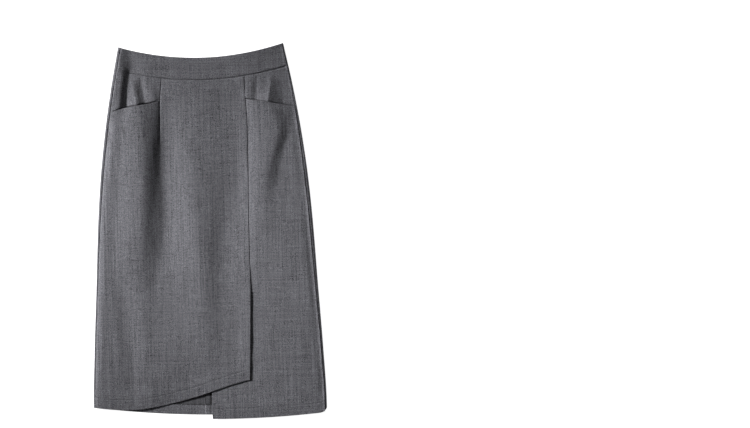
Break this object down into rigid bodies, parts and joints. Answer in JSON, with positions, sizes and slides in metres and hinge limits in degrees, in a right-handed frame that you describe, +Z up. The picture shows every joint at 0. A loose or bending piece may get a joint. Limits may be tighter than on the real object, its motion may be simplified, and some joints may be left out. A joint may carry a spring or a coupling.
{
  "type": "pencil skirt",
  "caption": "Knee-length wrap-front pencil skirt in plain suiting, laid flat with its front up, with hip pockets, an underlapped slit and a back zip.",
  "frame": {"origin": "middle of the skirt's box, on the surface that it lies on", "axes": "+Z up from the surface, out of the skirt's front; +Y from hem to waist; +X towards the wearer's left"},
  "size_m": [0.466, 0.7484, 0.0172],
  "materials": {
    "suiting": "matt plain-weave suiting in grey melange yarn",
    "zip_tape": "woven tape and moulded coil",
    "zip_metal": "dark enamel, satin"
  },
  "bodies": {
    "skirt": {"front_waistband": "suiting", "front_wrap_panel": "suiting", "front_side_panel": "suiting", "pocket_bearer_right": "suiting", "pocket_bearer_left": "suiting", "back_waistband_left": "suiting", "back_waistband_right": "suiting", "back_panel_left": "suiting", "back_panel_right": "suiting", "zip_chain": "zip_tape", "zip_slider": "zip_metal"},
    "pull": {"zip_pull": "zip_metal"}
  },
  "joints": [
    {"name": "pull_hinge", "type": "hinge", "parent": "skirt", "child": "pull", "pos_m": [0, 0.34371, 0.0014], "axis": [1, 0, 0], "range_deg": [0, 180]}
  ]
}
